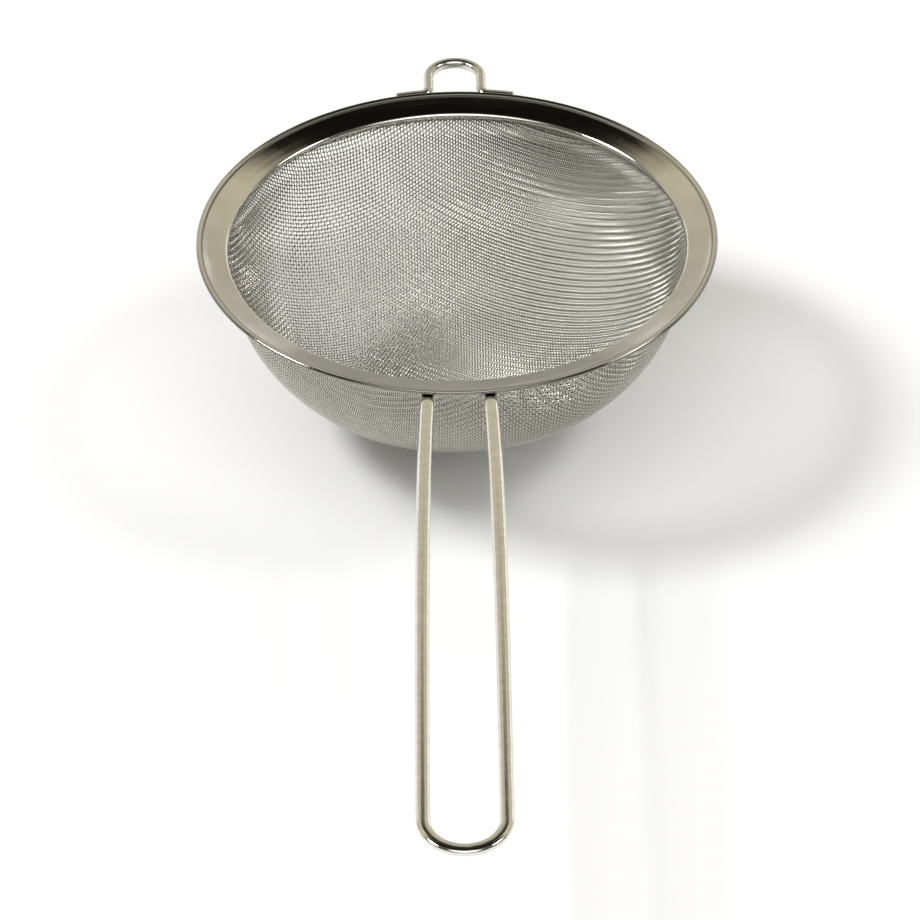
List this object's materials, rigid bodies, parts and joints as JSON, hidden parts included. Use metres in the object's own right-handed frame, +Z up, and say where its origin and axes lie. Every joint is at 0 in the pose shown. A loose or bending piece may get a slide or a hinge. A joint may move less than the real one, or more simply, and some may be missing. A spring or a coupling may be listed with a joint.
{
  "type": "tea strainer",
  "caption": "Round woven-wire bowl in a sloping flanged rim, with a long looped wire handle and a small rest hook opposite, for straining tea over a cup.",
  "frame": {"origin": "middle of the bounding box in plan, at the height of the bowl's lowest point; the rim's axis stands at x 0, y 0.0588 m, and the rim's edge at z 0.035 m", "axes": "+Z up along the bowl's axis, towards its mouth; +Y from the handle's end towards the rest hook; +X to the right seen from the handle's end"},
  "size_m": [0.092, 0.2325, 0.0353],
  "materials": {
    "rim_steel": "polished stainless sheet with fine turning marks",
    "cloth_steel": "bright woven stainless wire cloth",
    "clamp_steel": "plain rolled stainless strip",
    "handle_steel": "bright drawn stainless wire",
    "hook_steel": "bright drawn stainless wire"
  },
  "bodies": {
    "root": {"rim_flange": "rim_steel", "mesh_bowl": "cloth_steel", "mesh_clamp_ring": "clamp_steel", "handle_wire": "handle_steel", "rest_hook": "hook_steel"}
  },
  "joints": []
}
